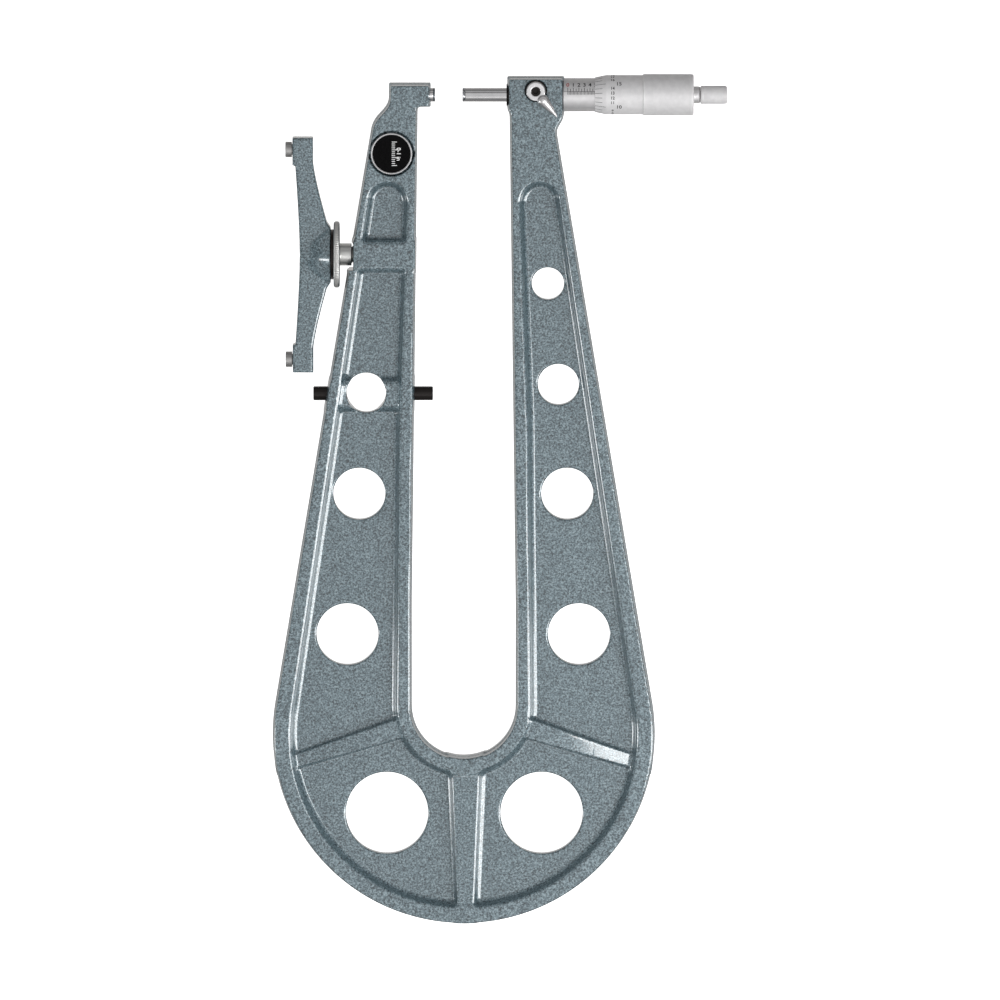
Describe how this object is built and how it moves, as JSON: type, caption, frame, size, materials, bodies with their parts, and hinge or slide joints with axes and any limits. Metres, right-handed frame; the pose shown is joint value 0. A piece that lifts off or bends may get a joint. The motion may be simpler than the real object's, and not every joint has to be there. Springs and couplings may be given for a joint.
{
  "type": "outside micrometer",
  "caption": "Deep-throat outside micrometer: U-shaped cast frame, anvil, screw spindle with graduated thimble and ratchet, spindle clamp, swivel stand and rest pins.",
  "frame": {"origin": "centre of the base of the whole box, with the micrometer lying on its back", "axes": "+X from the anvil towards the thimble, +Y from the frame's round end towards the heads, +Z out of the front face with the name plate and the clamp"},
  "size_m": [0.2082, 0.3916, 0.0306],
  "materials": {
    "paint": "hammertone enamel",
    "satin_chrome": "satin",
    "polished_steel": "ground and polished",
    "hard_metal": "lapped",
    "black_steel": "blackened",
    "plain_steel": "machined",
    "zinc_steel": "plated, satin",
    "foot_pad": "matt",
    "black_disc": "gloss",
    "brass": "machined"
  },
  "bodies": {
    "root": {"frame": "paint", "anvil": "polished_steel", "anvil_tip": "hard_metal", "plate_bezel": "satin_chrome", "plate_disc": "black_disc", "spindle_bush": "black_steel", "inner_sleeve": "plain_steel", "adjusting_nut": "plain_steel", "sleeve": "satin_chrome", "clamp_seat": "black_steel", "clamp_shoe": "brass", "pin_screw_inner": "black_steel", "pin_screw_outer": "black_steel"},
    "spindle_carriage": {"spindle_tip": "hard_metal"},
    "spindle_set": {"spindle": "polished_steel", "thimble": "satin_chrome", "ratchet_body": "satin_chrome", "ratchet_screw": "plain_steel"},
    "ratchet": {"ratchet_knob": "satin_chrome", "ratchet_crown": "plain_steel", "ratchet_spring": "plain_steel"},
    "clamp": {"clamp_lever": "satin_chrome", "clamp_screw": "black_steel"},
    "stud": {"stand_stud": "zinc_steel"},
    "stand": {"stand_body": "paint", "stand_foot_upper": "foot_pad", "stand_foot_lower": "foot_pad", "stand_washer": "black_steel"},
    "lock_nut": {"stand_lock_nut": "zinc_steel"},
    "inner_pin": {"rest_pin_inner": "black_steel"},
    "outer_pin": {"rest_pin_outer": "black_steel"}
  },
  "joints": [
    {"name": "spindle_feed", "type": "slide", "parent": "root", "child": "spindle_carriage", "axis": [1, 0, 0], "range_m": [-0.01239, 0.01299]},
    {"name": "thimble_turn", "type": "hinge", "parent": "spindle_carriage", "child": "spindle_set", "pos_m": [0.04337, 0.18623, 0.0153], "axis": [1, 0, 0], "range_deg": [-7030, 7370]},
    {"name": "ratchet_turn", "type": "hinge", "parent": "spindle_set", "child": "ratchet", "pos_m": [0.09537, 0.18623, 0.0153], "axis": [1, 0, 0], "continuous": true},
    {"name": "clamp_turn", "type": "hinge", "parent": "root", "child": "clamp", "pos_m": [0.01637, 0.18882, 0.0243], "axis": [0, 0, 1], "range_deg": [-40, 40]},
    {"name": "stand_height", "type": "slide", "parent": "root", "child": "stud", "axis": [-1, 0, 0], "range_m": [-0.0005, 0.01]},
    {"name": "stand_turn", "type": "hinge", "parent": "stud", "child": "stand", "pos_m": [-0.07663, 0.11282, 0.0153], "axis": [-1, 0, 0], "range_deg": [-144, 2880]},
    {"name": "lock_nut_turn", "type": "hinge", "parent": "stud", "child": "lock_nut", "pos_m": [-0.07663, 0.11282, 0.0153], "axis": [-1, 0, 0], "range_deg": [-120, 120]},
    {"name": "inner_pin_slide", "type": "slide", "parent": "root", "child": "inner_pin", "axis": [1, 0, 0], "range_m": [-0.006, 0.003]},
    {"name": "outer_pin_slide", "type": "slide", "parent": "root", "child": "outer_pin", "axis": [-1, 0, 0], "range_m": [-0.006, 0.003]}
  ],
  "couplings": [
    {"joint": "thimble_turn", "follows": "spindle_feed", "rad_per_m": 9894.8},
    {"joint": "stand_height", "follows": "stand_turn", "m_per_rad": 0.00019894}
  ]
}
